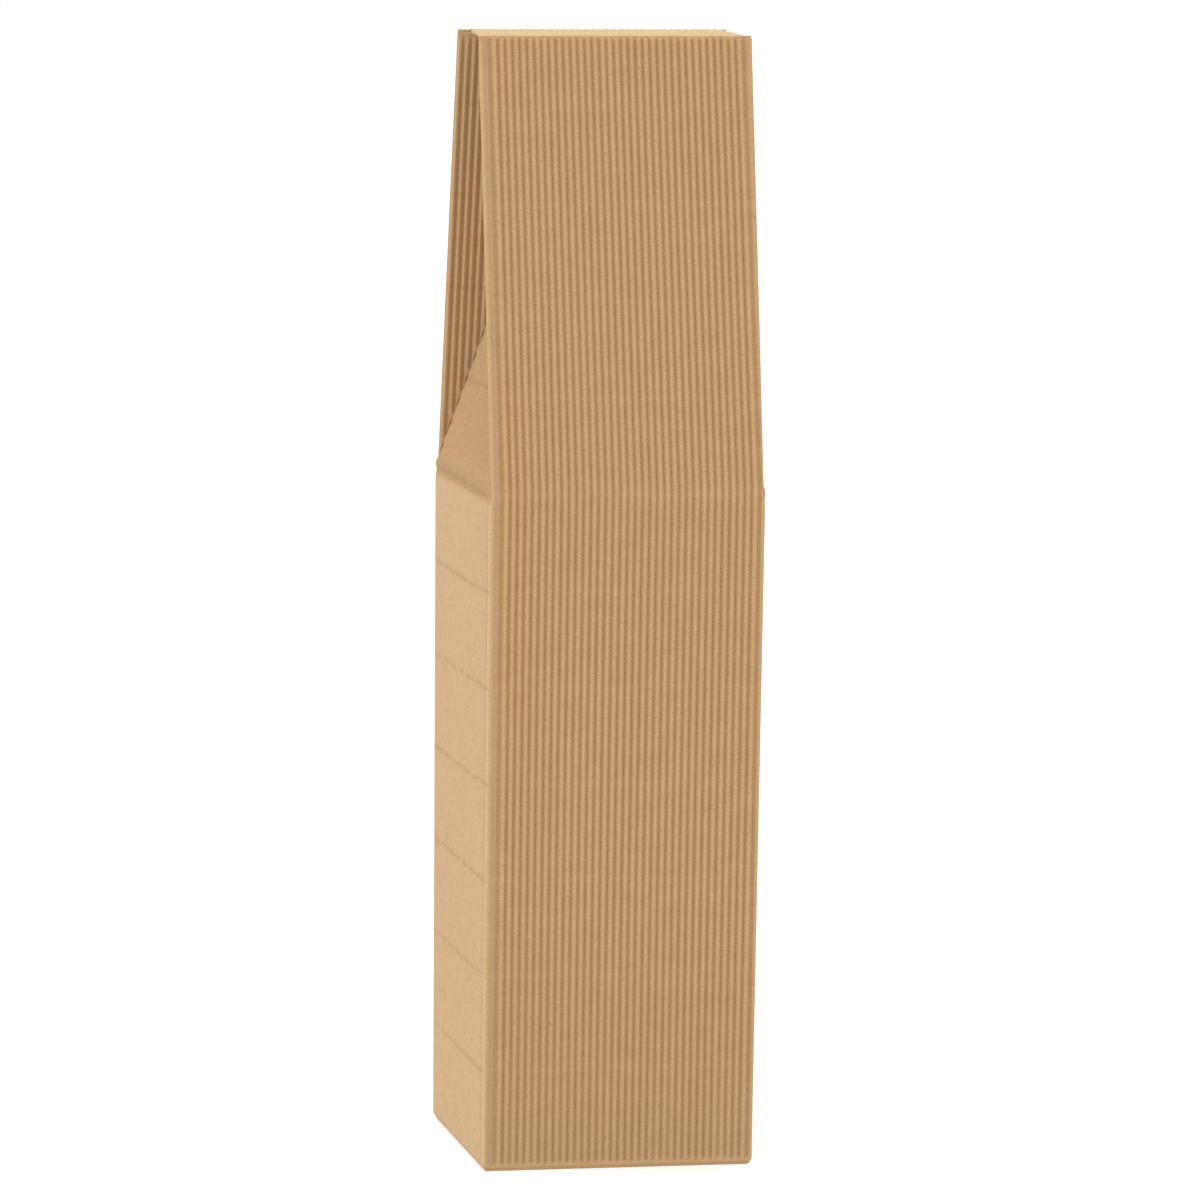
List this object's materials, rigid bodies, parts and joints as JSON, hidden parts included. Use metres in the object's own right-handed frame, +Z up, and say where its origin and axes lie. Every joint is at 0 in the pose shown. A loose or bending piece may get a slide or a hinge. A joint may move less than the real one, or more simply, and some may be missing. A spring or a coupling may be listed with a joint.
{
  "type": "single bottle gift box",
  "caption": "Tall gift box for one bottle, folded from open-flute corrugated kraft board, with a gusseted gable top and a tuck-in top flap.",
  "frame": {"origin": "middle of the box's footprint, on the surface that it stands on", "axes": "+Z up along the box, -Y towards the broad front, -X towards the side gusset on the left as seen from the front"},
  "size_m": [0.091, 0.09, 0.3645],
  "materials": {
    "kraft_board": "matte",
    "flap_board": "matte"
  },
  "bodies": {
    "carton": {"carton": "kraft_board"},
    "top_flap": {"top_flap": "flap_board"}
  },
  "joints": [
    {"name": "flap_hinge", "type": "hinge", "parent": "carton", "child": "top_flap", "pos_m": [0, -0.0163, 0.364], "axis": [1, 0, 0], "range_deg": [0, 135]}
  ]
}
